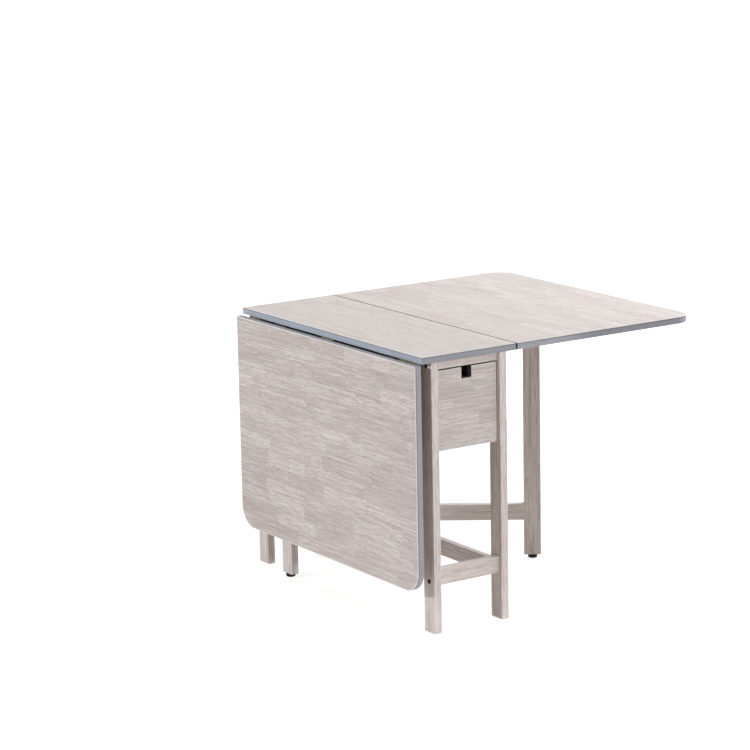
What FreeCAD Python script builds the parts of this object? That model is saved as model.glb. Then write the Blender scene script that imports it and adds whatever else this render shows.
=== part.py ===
"""Drop-leaf dining table: a narrow fixed top on a slim frame, two hinged leaves, two gates and a drawer.

Millimetres, +Z up. X runs across the table towards the raised leaf and Y along its hinge lines, with
the drawer at the near end, -Y. The pieces are drawn about the middle of the centre top, and every node
is then moved along X, so that the origin is on the floor under the middle of the whole table.
"""
import FreeCAD, Part
import Sketcher
import os
import re

Vector = FreeCAD.Vector
Rotation = FreeCAD.Rotation
# Lays a cylinder, which is made along Z, along Y
Z_TO_Y = Rotation(Vector(1, 0, 0), -90)

DRIVING_SIZES = {
    # Tops
    "table_height": 740,
    "board_thickness": 18,
    "top_depth": 880,
    "centre_width": 298,
    "leaf_width": 602,
    "seam_gap": 2.4,
    "corner_radius": 60,
    "edging_thickness": 1.2,
    "edging_round": 0.8,
    # Frame
    "stock_thickness": 22,
    "leg_depth": 48,
    "leg_setback": 3,
    "top_overhang": 30,
    "arris_round": 1.2,
    "stretcher_height": 44,
    "stretcher_rise": 126,
    "side_inset": 29,
    "side_thickness": 18,
    "top_rail_height": 23,
    "apron_height": 237.5,
    # Drawer
    "front_thickness": 18,
    "front_recess": 13,
    "front_gap": 2.6,
    "front_drop": 1.5,
    "notch_width": 32,
    "notch_depth": 31,
    "notch_round": 3,
    "rest_rail_height": 22,
    "rest_rail_thickness": 17,
    "rest_rail_gap": 0.5,
    "runner_width": 18,
    "runner_height": 14,
    "drawer_wall_thickness": 12,
    "drawer_wall_height": 140,
    "drawer_length": 400,
    "drawer_side_gap": 2,
    "drawer_slide_gap": 0.3,
    "drawer_floor_thickness": 4,
    "drawer_floor_rise": 10,
    "groove_depth": 6,
    "groove_gap": 0.2,
    # Gates
    "gate_pivot_depth": 245,
    "gate_length": 517,
    "gate_rail_height": 46,
    "gate_rail_rise": 113,
    "gate_top_gap": 10,
    "leaf_rest_gap": 0.3,
    "gate_open_angle": 54.4,
    "glide_height": 11,
    "glide_radius": 13.5,
    "glide_round": 5,
    # Hinges of the leaves
    "leaf_hinge_inset": 68,
    "leaf_hinge_length": 56,
    "leaf_knuckle_radius": 2.4,
    "leaf_plate_margin": 2.2,
    "leaf_plate_thickness": 1.2,
    "leaf_pin_radius": 1.2,
    # Hinges of the gates
    "gate_hinge_length": 38,
    "gate_hinge_inset": 3,
    "gate_hinge_drop": 100,
    "gate_knuckle_radius": 4,
    "gate_seat_gap": 1,
    "gate_plate_width": 34,
    "gate_plate_thickness": 2,
    "gate_pin_radius": 2,
    # Running gaps of every hinge
    "knuckle_gap": 0.3,
    "pin_gap": 0.05,
    # Bolts that join the legs to the rails
    "bolt_radius": 3,
    "bolt_gap": 0.25,
    "bolt_head_radius": 6,
    "bolt_head_height": 5,
    "bolt_tip_length": 3,
    "bolt_end_gap": 2,
    "bolt_rise": 12,
    "recess_radius": 6.5,
    "recess_depth": 12,
    "socket_radius": 2.9,
    "socket_depth": 3,
    "nut_radius": 5,
    "nut_length": 14,
    "nut_distance": 30,
    "nut_gap": 0.1,
}
SIZE_NAMES = re.compile(r"\b(%s)\b" % "|".join(DRIVING_SIZES))
# Slack for telling one place from another when edges are picked by where they are
NEAR = 1e-3

doc = FreeCAD.newDocument("drop_leaf_table")
sheet = doc.addObject("Spreadsheet::Sheet", "Sizes")
for row, (alias, number) in enumerate(DRIVING_SIZES.items(), start=1):
    sheet.set("A%d" % row, alias)
    sheet.set("B%d" % row, str(number))
    sheet.setAlias("B%d" % row, alias)
doc.recompute()

nodes = {}

# Places that several pieces share, as formulas of the driving sizes
UNDERSIDE = "(table_height - board_thickness)"
LEG_OUT = "(centre_width / 2 - top_overhang)"
LEG_IN = "(%s - stock_thickness)" % LEG_OUT
LEG_FACE = "(top_depth / 2 - leg_setback)"
LEG_MIDDLE = "(%s - leg_depth / 2)" % LEG_FACE
CROSS_LENGTH = "(2 * %s)" % LEG_IN
SIDE_OUT = "(%s - side_inset)" % LEG_OUT
SIDE_IN = "(%s - side_thickness)" % SIDE_OUT
APRON_BOTTOM = "(%s - apron_height)" % UNDERSIDE
FRONT_FACE = "(%s - front_recess)" % LEG_FACE
FRONT_BACK = "(%s - front_thickness)" % FRONT_FACE
FRONT_WIDTH = "(%s - 2 * front_gap)" % CROSS_LENGTH
FRONT_HEIGHT = "(apron_height - top_rail_height - front_gap + front_drop)"
REST_FACE = "(%s - rest_rail_gap)" % FRONT_BACK
REST_BACK = "(%s - rest_rail_thickness)" % REST_FACE
RUNNER_BASE = "(%s + rest_rail_height)" % APRON_BOTTOM
DRAWER_BASE = "(%s + runner_height + drawer_slide_gap)" % RUNNER_BASE
DRAWER_OUT = "(%s - drawer_side_gap)" % SIDE_IN
DRAWER_IN = "(%s - drawer_wall_thickness)" % DRAWER_OUT
LOW_BOLT = "(stretcher_rise + bolt_rise)"
HIGH_BOLT = "(%s - top_rail_height / 2)" % UNDERSIDE
LEAF_AXIS_X = "(centre_width / 2 + seam_gap / 2)"
LEAF_AXIS_Z = "(%s - leaf_knuckle_radius)" % UNDERSIDE
GATE_SEAT = "(gate_knuckle_radius + gate_seat_gap)"
GATE_AXIS_X = "(%s + %s)" % (SIDE_OUT, GATE_SEAT)
GATE_FACE = "(%s + stock_thickness)" % GATE_SEAT
GATE_TOP = "(%s - gate_top_gap)" % UNDERSIDE
GATE_RAIL_LENGTH = "(gate_length - leg_depth)"
# From the middle of the centre top to the middle between the raised leaf's edge and the hanging leaf's face
TABLE_MIDDLE = "((leaf_width + seam_gap / 2 - leaf_knuckle_radius - board_thickness) / 2)"


def size(formula):
    """The formula as an expression that reads the sheet."""
    return "(%s)" % SIZE_NAMES.sub(r"Sizes.\1", formula)


def value(formula):
    """The formula's number, for the first drawing of a sketch and for picking edges."""
    return float(sheet.evalExpression(size(formula)))


def minus(formula):
    return "-(%s)" % formula


def bind(thing, **formulas):
    """Ties properties to the sheet; a double underscore stands for the dot in a property's path."""
    for name, formula in formulas.items():
        thing.setExpression(name.replace("__", "."), size(formula))


def place(thing, x="0", y="0", z="0", rotation=None):
    """Puts a piece at a place given by formulas, with a fixed turn, and moves nodes to the origin."""
    if rotation is not None:
        thing.Placement = FreeCAD.Placement(Vector(), rotation)
    if thing.Name in nodes:
        x = "%s - %s" % (x, TABLE_MIDDLE)
    bind(thing, Placement__Base__x=x, Placement__Base__y=y, Placement__Base__z=z)


def axes_to(x, y, z):
    """The rotation that takes the X, Y and Z axes to the given directions."""
    return Rotation(Vector(*x), Vector(*y), Vector(*z), "XYZ")


def new_body(label):
    nodes[label] = doc.addObject("PartDesign::Body", label)
    return nodes[label]


def new_group(label, solids):
    """One node of several separate solids, which are already at their places."""
    nodes[label] = doc.addObject("Part::Compound", label)
    nodes[label].Links = solids
    place(nodes[label])
    return nodes[label]


def sketch_on(body, name, role, x="0", y="0", off="0"):
    """A sketch on one of the body's own planes, shifted within it by x and y and off it along its normal."""
    sketch = body.newObject("Sketcher::SketchObject", "%s_%s" % (body.Name, name))
    plane = next(feature for feature in body.Origin.OriginFeatures if feature.Role == role)
    sketch.AttachmentSupport = [(plane, "")]
    sketch.MapMode = "FlatFace"
    bind(sketch, AttachmentOffset__Base__x=x, AttachmentOffset__Base__y=y, AttachmentOffset__Base__z=off)
    return sketch


def constrain(sketch, name, formula, kind, *places):
    """Adds a dimension that follows the sheet."""
    number = sketch.addConstraint(Sketcher.Constraint(kind, *places, value(formula)))
    sketch.renameConstraint(number, name)
    sketch.setExpression("Constraints." + name, size(formula))


def add_rectangle(sketch, wide, high, inset=None):
    """A rectangle from the sketch's origin, or with its first corner set in from there both ways."""
    start = value(inset) if inset else 0.0
    right, top = start + value(wide), start + value(high)
    corners = [Vector(start, start), Vector(right, start), Vector(right, top), Vector(start, top)]
    first = sketch.GeometryCount
    for corner, following in zip(corners, corners[1:] + corners[:1]):
        sketch.addGeometry(Part.LineSegment(corner, following), False)
    for number, level in enumerate(("Horizontal", "Vertical") * 2):
        sketch.addConstraint(Sketcher.Constraint(level, first + number))
        following = first + (number + 1) % 4
        sketch.addConstraint(Sketcher.Constraint("Coincident", first + number, 2, following, 1))
    kind = "inner" if inset else "outer"
    constrain(sketch, kind + "_wide", wide, "DistanceX", first, 1, first, 2)
    constrain(sketch, kind + "_high", high, "DistanceY", first + 1, 1, first + 1, 2)
    if inset:
        constrain(sketch, "inset_x", inset, "DistanceX", -1, 1, first, 1)
        constrain(sketch, "inset_y", inset, "DistanceY", -1, 1, first, 1)
    else:
        sketch.addConstraint(Sketcher.Constraint("Coincident", first, 1, -1, 1))


def add_circle(sketch, radius):
    """A circle round the sketch's origin."""
    sketch.addGeometry(Part.Circle(Vector(), Vector(0, 0, 1), value(radius)), False)
    sketch.addConstraint(Sketcher.Constraint("Coincident", 0, 3, -1, 1))
    constrain(sketch, "circle_radius", radius, "Radius", 0)


def pad(body, sketch, length, reverse=False):
    feature = body.newObject("PartDesign::Pad", sketch.Name + "_pad")
    feature.Profile = sketch
    feature.Reversed = reverse
    bind(feature, Length=length)
    return feature


def cut(body, sketch, depth, along_normal=False):
    """Cuts the sketch's outline into the body, against the sketch's normal unless told otherwise."""
    before = body.Shape.Volume
    feature = body.newObject("PartDesign::Pocket", sketch.Name + "_cut")
    feature.Profile = sketch
    feature.Reversed = along_normal
    bind(feature, Length=depth)
    doc.recompute()
    if not feature.Shape.Volume < before:
        raise RuntimeError("%s cut nothing" % feature.Name)
    return feature


def ease(body, base, name, test, radius):
    """Rounds the edges of a feature that pass the test."""
    doc.recompute()
    feature = body.newObject("PartDesign::Fillet", "%s_%s" % (body.Name, name))
    chosen = ["Edge%d" % number for number, edge in enumerate(base.Shape.Edges, start=1) if test(edge)]
    feature.Base = (base, chosen)
    bind(feature, Radius=radius)
    doc.recompute()
    return feature


def runs_along(edge, axis):
    """True for a straight edge along the axis: 0 for X, 1 for Y and 2 for Z."""
    if edge.Curve.TypeId != "Part::GeomLine":
        return False
    return abs(edge.Curve.Direction[axis]) > 1 - NEAR


# For a bar along X, Y or Z: the plane of its section, the axes of that plane, and if the pad is reversed
SECTIONS = [("YZ_Plane", (1, 2), False), ("XZ_Plane", (0, 2), True), ("XY_Plane", (0, 1), False)]


def plank(label, along, lengths, eased=True):
    """A straight bar or panel from its own origin along +X, +Y and +Z, with eased long edges."""
    body = new_body(label)
    plane, across, reverse = SECTIONS[along]
    section = sketch_on(body, "section", plane)
    add_rectangle(section, lengths[across[0]], lengths[across[1]])
    bar = pad(body, section, lengths[along], reverse)
    if eased:
        ease(body, bar, "arris", lambda edge: runs_along(edge, along), "arris_round")
    doc.recompute()
    return body


def bore(body, name, plane, centre, radius, depth, off="0", along_normal=True):
    """A round hole from a plane of the body."""
    sketch = sketch_on(body, name, plane, centre[0], centre[1], off)
    add_circle(sketch, radius)
    cut(body, sketch, depth, along_normal)


def slot(body, name, x, z, wide, high, depth):
    """A rectangular slot from the body's own XZ plane along +Y."""
    outline = sketch_on(body, name, "XZ_Plane", x, z)
    add_rectangle(outline, wide, high)
    return cut(body, outline, depth)


def make_top(label, wide, rounded):
    """A flat board with its edging round it, from the seam edge at x = 0 outwards."""
    board, edging = new_body(label + "_board"), new_body(label + "_edging")
    core_size = (wide + " - 2 * edging_thickness", "top_depth - 2 * edging_thickness")
    core = sketch_on(board, "core", "XY_Plane")
    add_rectangle(core, *core_size, "edging_thickness")
    slab = pad(board, core, "board_thickness")
    ring = sketch_on(edging, "ring", "XY_Plane")
    add_rectangle(ring, wide, "top_depth")
    add_rectangle(ring, *core_size, "edging_thickness")
    band = pad(edging, ring, "board_thickness")

    def outer_corner(edge):
        return runs_along(edge, 2) and edge.BoundBox.XMax > value(wide) - NEAR

    def core_corner(edge):
        at_outer_end = abs(edge.BoundBox.XMax - value(wide + " - edging_thickness")) < NEAR
        inside = NEAR < edge.BoundBox.YMin < value("top_depth") - NEAR
        return runs_along(edge, 2) and at_outer_end and inside

    if rounded:
        core_radius = "corner_radius - edging_thickness"
        ease(board, slab, "corners", core_corner, core_radius)
        band = ease(edging, band, "corners", outer_corner, "corner_radius")
        band = ease(edging, band, "core_corners", core_corner, core_radius)
    doc.recompute()
    level_faces = [face for face in band.Shape.Faces if abs(face.normalAt(0, 0).z) > 1 - NEAR]
    rims = [edge for face in level_faces for edge in face.OuterWire.Edges]
    ease(edging, band, "rim", lambda edge: any(edge.isSame(rim) for rim in rims), "edging_round")
    return board, edging


# Centre top
for piece in make_top("centre", "centre_width", False):
    place(piece, "-centre_width / 2", "-top_depth / 2", UNDERSIDE)

# Frame legs, each bored for a low and a high bolt whose heads sit deep in its outer face
CORNERS = {"near_left": (-1, -1), "near_right": (1, -1), "far_left": (-1, 1), "far_right": (1, 1)}
BOLT_HEIGHTS = {"low": LOW_BOLT, "high": HIGH_BOLT}
BOLT_HOLE = "bolt_radius + bolt_gap"
for corner, (side, end) in CORNERS.items():
    leg = plank(corner + "_leg", 2, ("stock_thickness", "leg_depth", UNDERSIDE))
    outer_face = "0" if side < 0 else "stock_thickness"
    for name, height in BOLT_HEIGHTS.items():
        centre = ("leg_depth / 2", height)
        bore(leg, name + "_hole", "YZ_Plane", centre, BOLT_HOLE, "stock_thickness")
        bore(leg, name + "_recess", "YZ_Plane", centre, "recess_radius", "recess_depth",
             outer_face, side < 0)
    place(leg, minus(LEG_OUT) if side < 0 else LEG_IN,
          minus(LEG_FACE) if end < 0 else LEG_FACE + " - leg_depth")

BOLT_REACH = "(nut_distance + nut_radius + bolt_tip_length)"


def bore_for_bolt(rail, name, length, thickness, rise, at_start, nut_from_front):
    """The bolt's hole in one end of a rail along X, and the barrel nut's hole across it."""
    middle = thickness + " / 2"
    end = "0" if at_start else length
    hole_depth = BOLT_REACH + " + bolt_end_gap"
    bore(rail, name + "_hole", "YZ_Plane", (middle, rise), BOLT_HOLE, hole_depth, end, at_start)
    nut_at = "nut_distance" if at_start else length + " - nut_distance"
    nut_face = "0" if nut_from_front else minus(thickness)
    bore(rail, name + "_nut", "XZ_Plane", (nut_at, rise), "nut_radius + nut_gap",
         middle + " + nut_length / 2", nut_face, not nut_from_front)


def cross_piece(label, thickness, height, bolt_height, nut_from_front):
    """A rail or panel between the two legs of one end, bored for a bolt at each end."""
    piece = plank(label, 0, (CROSS_LENGTH, thickness, height))
    for name, at_start in (("left", True), ("right", False)):
        bore_for_bolt(piece, name, CROSS_LENGTH, thickness, bolt_height, at_start, nut_from_front)
    return piece


# Pieces between the legs of each end, in line with the middle of the legs
near_start = "-%s - stock_thickness / 2" % LEG_MIDDLE
far_start = "%s - stock_thickness / 2" % LEG_MIDDLE
panel_start = "(%s - front_thickness / 2)" % LEG_MIDDLE
near_stretcher = cross_piece("near_end_stretcher", "stock_thickness", "stretcher_height", "bolt_rise", False)
place(near_stretcher, minus(LEG_IN), near_start, "stretcher_rise")
far_stretcher = cross_piece("far_end_stretcher", "stock_thickness", "stretcher_height", "bolt_rise", True)
place(far_stretcher, minus(LEG_IN), far_start, "stretcher_rise")
top_rail = cross_piece("near_top_rail", "stock_thickness", "top_rail_height", "top_rail_height / 2", False)
place(top_rail, minus(LEG_IN), near_start, UNDERSIDE + " - top_rail_height")
panel_bolt = "apron_height - top_rail_height / 2"
end_panel = cross_piece("far_end_panel", "front_thickness", "apron_height", panel_bolt, True)
place(end_panel, minus(LEG_IN), panel_start, APRON_BOTTOM)
rest_rail = plank("drawer_rest_rail", 0, (CROSS_LENGTH, "rest_rail_thickness", "rest_rail_height"))
place(rest_rail, minus(LEG_IN), minus(REST_FACE), APRON_BOTTOM)

# Pieces along the long sides
APRON_LENGTH = "(%s + %s)" % (panel_start, REST_BACK)
STRETCHER_LENGTH = "(2 * %s - stock_thickness)" % LEG_MIDDLE
for side, sign in (("left", -1), ("right", 1)):
    inner_x = SIDE_IN if sign > 0 else minus(SIDE_OUT)
    panel = plank(side + "_side_panel", 1, ("side_thickness", APRON_LENGTH, "apron_height"))
    place(panel, inner_x, minus(REST_BACK), APRON_BOTTOM)
    stretcher_lengths = ("side_thickness", STRETCHER_LENGTH, "stretcher_height")
    long_stretcher = plank(side + "_long_stretcher", 1, stretcher_lengths)
    place(long_stretcher, inner_x, minus(STRETCHER_LENGTH) + " / 2", "stretcher_rise")
    runner = plank(side + "_drawer_runner", 1, ("runner_width", APRON_LENGTH, "runner_height"))
    runner_x = SIDE_IN + " - runner_width" if sign > 0 else minus(SIDE_IN)
    place(runner, runner_x, minus(REST_BACK), RUNNER_BASE)

# Drawer: a notched front on a grooved box that slides on the runners
front = new_body("drawer_front")
front_outline = sketch_on(front, "outline", "XZ_Plane")
add_rectangle(front_outline, FRONT_WIDTH, FRONT_HEIGHT)
pad(front, front_outline, "front_thickness", True)
doc.recompute()
notch_x, notch_z = FRONT_WIDTH + " / 2 - notch_width / 2", FRONT_HEIGHT + " - notch_depth"
notch = slot(front, "notch", notch_x, notch_z, "notch_width", "notch_depth", "front_thickness")


def notch_corner(edge):
    return runs_along(edge, 1) and abs(edge.BoundBox.ZMin - value(notch_z)) < NEAR


ease(front, notch, "notch_rounds", notch_corner, "notch_round")
place(front, minus(FRONT_WIDTH) + " / 2", minus(FRONT_FACE), APRON_BOTTOM + " - front_drop")
for side, sign in (("left", -1), ("right", 1)):
    wall_lengths = ("drawer_wall_thickness", "drawer_length", "drawer_wall_height")
    wall = plank("drawer_%s_side" % side, 1, wall_lengths, eased=False)
    groove_x = "0" if sign > 0 else "drawer_wall_thickness - groove_depth"
    slot(wall, "groove", groove_x, "drawer_floor_rise - groove_gap",
         "groove_depth", "drawer_floor_thickness + 2 * groove_gap", "drawer_length")
    place(wall, DRAWER_IN if sign > 0 else minus(DRAWER_OUT), minus(FRONT_BACK), DRAWER_BASE)
back_rise = "(drawer_floor_rise + drawer_floor_thickness + groove_gap)"
back_lengths = ("2 * " + DRAWER_IN, "drawer_wall_thickness", "drawer_wall_height - " + back_rise)
drawer_back = plank("drawer_back", 0, back_lengths, eased=False)
place(drawer_back, minus(DRAWER_IN), "-%s + drawer_length - drawer_wall_thickness" % FRONT_BACK,
      DRAWER_BASE + " + " + back_rise)
floor_half = "(%s + groove_depth - groove_gap)" % DRAWER_IN
floor_lengths = ("2 * " + floor_half, "drawer_length", "drawer_floor_thickness")
drawer_bottom = plank("drawer_bottom", 1, floor_lengths, eased=False)
place(drawer_bottom, minus(floor_half), minus(FRONT_BACK), DRAWER_BASE + " + drawer_floor_rise")

# Leaves: each is drawn level, outwards from its hinge line; the left one is turned down about that line
LEAVES = {"left": (minus(LEAF_AXIS_X), Rotation(Vector(1, 0, -1), 180)), "right": (LEAF_AXIS_X, Rotation())}


def turned(rotation, x, y, z):
    """The formulas of a place after a turn that takes axes to axes."""
    parts = [(x, Vector(1, 0, 0)), (y, Vector(0, 1, 0)), (z, Vector(0, 0, 1))]
    moved = []
    for row in range(3):
        shares = [(round(rotation.multVec(unit)[row]), formula) for formula, unit in parts]
        moved.append("".join("%+d * (%s)" % share for share in shares if share[0]))
    return moved


for side, (axis_x, rotation) in LEAVES.items():
    shift = turned(rotation, "seam_gap / 2", "-top_depth / 2", "leaf_knuckle_radius")
    for piece in make_top(side + "_leaf", "leaf_width", True):
        place(piece, axis_x + shift[0], shift[1], LEAF_AXIS_Z + shift[2], rotation)


def combine(kind, name, base, tool):
    thing = doc.addObject(kind, name)
    thing.Base = base
    thing.Tool = tool
    return thing


def cylinder(name, radius, height):
    thing = doc.addObject("Part::Cylinder", name)
    bind(thing, Radius=radius, Height=height)
    return thing


class Hinge:
    """A butt hinge whose pin runs along its own Z, with three knuckles and its plates along +X.

    A plate lies on a seat at +Y. The plate with the two outer knuckles is cut away round the middle
    knuckle, and the plate with the middle one round the outer two.
    """

    def __init__(self, kind, width, start, seat):
        self.length = kind + "_hinge_length"
        self.knuckle = kind + "_knuckle_radius"
        self.thickness = kind + "_plate_thickness"
        self.pin_radius = kind + "_pin_radius"
        self.width, self.start, self.seat = width, start, seat

    def spans(self, middle):
        """Where the middle knuckle, or the two outer ones, begin and end along the pin."""
        end = self.length + " / 2"
        inner = self.length + " / 6 - knuckle_gap / 2"
        outer = self.length + " / 6 + knuckle_gap / 2"
        if middle:
            return [(minus(inner), inner)]
        return [(minus(end), minus(outer)), (outer, end)]

    def barrel(self, name, radius, low, high):
        thing = cylinder(name, radius, "%s - (%s)" % (high, low))
        bind(thing, Placement__Base__z=low)
        return thing

    def half(self, name, middle):
        """A plate with its own knuckles, bored for the pin."""
        plate = doc.addObject("Part::Box", name + "_plate")
        bind(plate, Length="%s - %s" % (self.width, self.start), Width=self.thickness, Height=self.length)
        place(plate, self.start, "%s - %s" % (self.seat, self.thickness), minus(self.length) + " / 2")
        solid = plate
        for number, (low, high) in enumerate(self.spans(not middle)):
            tool = self.barrel("%s_room_%d" % (name, number), self.knuckle + " + knuckle_gap",
                               low + " - knuckle_gap", high + " + knuckle_gap")
            solid = combine("Part::Cut", "%s_notched_%d" % (name, number), solid, tool)
        for number, (low, high) in enumerate(self.spans(middle)):
            knuckle = self.barrel("%s_knuckle_%d" % (name, number), self.knuckle, low, high)
            solid = combine("Part::Fuse", "%s_joined_%d" % (name, number), solid, knuckle)
        hole = self.barrel(name + "_bore", self.pin_radius + " + pin_gap", minus(self.length), self.length)
        return combine("Part::Cut", name, solid, hole)

    def pin(self, name):
        return cylinder(name, self.pin_radius, self.length)


# Hinges of the leaves: plates under the centre top and under each leaf, three to a side
leaf_hinge = Hinge("leaf", "(top_overhang + seam_gap / 2 - leaf_plate_margin)", "(seam_gap / 3)",
                   "leaf_knuckle_radius")
hinge_spread = "(top_depth / 2 - leaf_hinge_inset)"
HINGE_PLACES = {"near": minus(hinge_spread), "middle": "0", "far": hinge_spread}
for side, sign in (("left", -1), ("right", 1)):
    axis_x, leaf_turn = LEAVES[side]
    fixed_turn = axes_to((-sign, 0, 0), (0, 0, 1), (0, sign, 0))
    moving_turn = leaf_turn.multiply(axes_to((1, 0, 0), (0, 0, 1), (0, -1, 0)))
    fixed_plates, moving_plates, pins = [], [], []
    for where, along in HINGE_PLACES.items():
        name = "%s_%s_hinge" % (side, where)
        fixed_plates.append(leaf_hinge.half(name + "_fixed", False))
        place(fixed_plates[-1], axis_x, along, LEAF_AXIS_Z, fixed_turn)
        moving_plates.append(leaf_hinge.half(name + "_moving", True))
        place(moving_plates[-1], axis_x, along, LEAF_AXIS_Z, moving_turn)
        pins.append(leaf_hinge.pin(name + "_pin"))
        place(pins[-1], axis_x, along + " - leaf_hinge_length / 2", LEAF_AXIS_Z, Z_TO_Y)
    new_group(side + "_centre_hinge_plates", fixed_plates)
    new_group(side + "_leaf_hinge_plates", moving_plates)
    new_group(side + "_hinge_pins", pins)


def make_bolt(name, cover):
    """A socket-head bolt along +Z from the outer face of the wood that it covers, and its barrel nut."""
    head = cylinder(name + "_head", "bolt_head_radius", "bolt_head_height")
    shank_length = "%s - recess_depth + bolt_head_height + %s" % (cover, BOLT_REACH)
    shank = cylinder(name + "_shank", "bolt_radius", shank_length)
    socket = doc.addObject("Part::Prism", name + "_socket")
    socket.Polygon = 6
    bind(socket, Circumradius="socket_radius", Height="socket_depth")
    bolt = combine("Part::Cut", name, combine("Part::Fuse", name + "_turned", head, shank), socket)
    blank = cylinder(name + "_nut_blank", "nut_radius", "nut_length")
    thread = cylinder(name + "_nut_thread", BOLT_HOLE, "4 * nut_radius")
    place(thread, "-2 * nut_radius", "0", "nut_length / 2", Rotation(Vector(0, 1, 0), 90))
    return bolt, combine("Part::Cut", name + "_nut", blank, thread)


# Bolts through the frame legs into the rails between them
bolts, nuts = [], []
head_x = "(%s - recess_depth + bolt_head_height)" % LEG_OUT
nut_x = "(%s - nut_distance)" % LEG_IN
for corner, (side, end) in CORNERS.items():
    for name, height in BOLT_HEIGHTS.items():
        bolt, nut = make_bolt("%s_%s_bolt" % (corner, name), "stock_thickness")
        bolt_y = LEG_MIDDLE if end > 0 else minus(LEG_MIDDLE)
        inwards = Rotation(Vector(0, 1, 0), -90 * side)
        place(bolt, head_x if side > 0 else minus(head_x), bolt_y, height, inwards)
        place(nut, nut_x if side > 0 else minus(nut_x), bolt_y + " - nut_length / 2", height, Z_TO_Y)
        bolts.append(bolt)
        nuts.append(nut)
new_group("leg_bolts", bolts)
new_group("barrel_nuts", nuts)

# Gates: each is drawn from its hinge axis along +X with its outer side at +Y, then turned about that axis
GATES = {"left": (minus(GATE_AXIS_X), "-gate_pivot_depth", "90"),
         "right": (GATE_AXIS_X, "gate_pivot_depth", "gate_open_angle - 90")}
gate_hinge = Hinge("gate", "gate_plate_width", "0", GATE_SEAT)
HINGE_HEIGHTS = {"lower": "(stretcher_rise + gate_hinge_inset + gate_hinge_length / 2)",
                 "upper": "(%s - gate_hinge_drop + gate_hinge_length / 2)" % UNDERSIDE}
RAIL_HEIGHTS = {"lower": "gate_rail_rise", "upper": "(%s - gate_rail_height)" % GATE_TOP}


def put_on_gate(thing, side, along="0", out="0", up="0"):
    """Places a node by its distance along and out from the gate's axis, turned with the gate."""
    axis_x, axis_y, angle = GATES[side]
    turn = "((%s) * 1 deg)" % angle
    x = "%s + (%s) * cos(%s) - (%s) * sin(%s)" % (axis_x, along, turn, out, turn)
    y = "%s + (%s) * sin(%s) + (%s) * cos(%s)" % (axis_y, along, turn, out, turn)
    place(thing, x, y, up, Rotation(Vector(0, 0, 1), value(angle)))
    bind(thing, Placement__Rotation__Angle=angle)


for side, sign in (("left", -1), ("right", 1)):
    name = side + "_gate"
    leg_height = UNDERSIDE + " - leaf_rest_gap - glide_height"
    gate_leg = plank(name + "_leg", 2, ("leg_depth", "stock_thickness", leg_height))
    gate_bolts, gate_nuts = [], []
    for level, height in RAIL_HEIGHTS.items():
        rail_lengths = (GATE_RAIL_LENGTH, "stock_thickness", "gate_rail_height")
        rail = plank("%s_%s_rail" % (name, level), 0, rail_lengths)
        bore_for_bolt(rail, "bolt", GATE_RAIL_LENGTH, "stock_thickness", "gate_rail_height / 2",
                      at_start=False, nut_from_front=False)
        put_on_gate(rail, side, "0", GATE_FACE, height)
        bolt_height = height + " + gate_rail_height / 2"
        centre = ("stock_thickness / 2", bolt_height + " - glide_height")
        bore(gate_leg, level + "_hole", "YZ_Plane", centre, BOLT_HOLE, "leg_depth")
        bore(gate_leg, level + "_recess", "YZ_Plane", centre, "recess_radius", "recess_depth",
             "leg_depth", False)
        bolt, nut = make_bolt("%s_%s_bolt" % (name, level), "leg_depth")
        middle = GATE_FACE + " + stock_thickness / 2"
        place(bolt, "gate_length - recess_depth + bolt_head_height", middle, bolt_height,
              Rotation(Vector(0, 1, 0), -90))
        place(nut, GATE_RAIL_LENGTH + " - nut_distance", middle + " - nut_length / 2", bolt_height, Z_TO_Y)
        gate_bolts.append(bolt)
        gate_nuts.append(nut)
    put_on_gate(gate_leg, side, GATE_RAIL_LENGTH, GATE_FACE, "glide_height")
    put_on_gate(new_group(name + "_bolts", gate_bolts), side)
    put_on_gate(new_group(name + "_nuts", gate_nuts), side)
    stile = plank(name + "_stile", 2, ("leg_depth", "stock_thickness", GATE_TOP + " - gate_rail_rise"))
    put_on_gate(stile, side, "0", GATE_SEAT, "gate_rail_rise")
    glide = new_body(name + "_glide")
    glide_outline = sketch_on(glide, "outline", "XY_Plane")
    add_circle(glide_outline, "glide_radius")
    puck = pad(glide, glide_outline, "glide_height")
    ease(glide, puck, "foot_round", lambda edge: edge.BoundBox.ZMax < NEAR, "glide_round")
    put_on_gate(glide, side, GATE_RAIL_LENGTH + " + leg_depth / 2", GATE_FACE + " + stock_thickness / 2")
    fixed_plates, moving_plates, pins = [], [], []
    axis_x, axis_y, _ = GATES[side]
    for level, height in HINGE_HEIGHTS.items():
        hinge_name = "%s_%s_hinge" % (name, level)
        fixed_plates.append(gate_hinge.half(hinge_name + "_fixed", False))
        place(fixed_plates[-1], axis_x, axis_y, height, axes_to((0, -sign, 0), (-sign, 0, 0), (0, 0, -1)))
        moving_plates.append(gate_hinge.half(hinge_name + "_moving", True))
        place(moving_plates[-1], z=height)
        pins.append(gate_hinge.pin(hinge_name + "_pin"))
        place(pins[-1], axis_x, axis_y, height + " - gate_hinge_length / 2")
    new_group(name + "_fixed_plates", fixed_plates)
    put_on_gate(new_group(name + "_hinge_plates", moving_plates), side)
    new_group(name + "_pins", pins)

doc.recompute()
for thing in doc.Objects:
    if "Invalid" in thing.State or "Error" in thing.State:
        raise RuntimeError("%s did not build: %s" % (thing.Label, thing.State))
os.makedirs("parts", exist_ok=True)
for label, thing in nodes.items():
    if thing.Shape.isNull() or not thing.Shape.isValid():
        raise RuntimeError("%s has no valid shape" % label)
    thing.Shape.exportStep("parts/%s.step" % label)
print("%d nodes" % len(nodes))
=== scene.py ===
"""Drop-leaf dining table with gate legs and a drawer: finishes, hinge screws, studio and camera."""
import math

import bpy
from mathutils import Matrix, Vector


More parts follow.
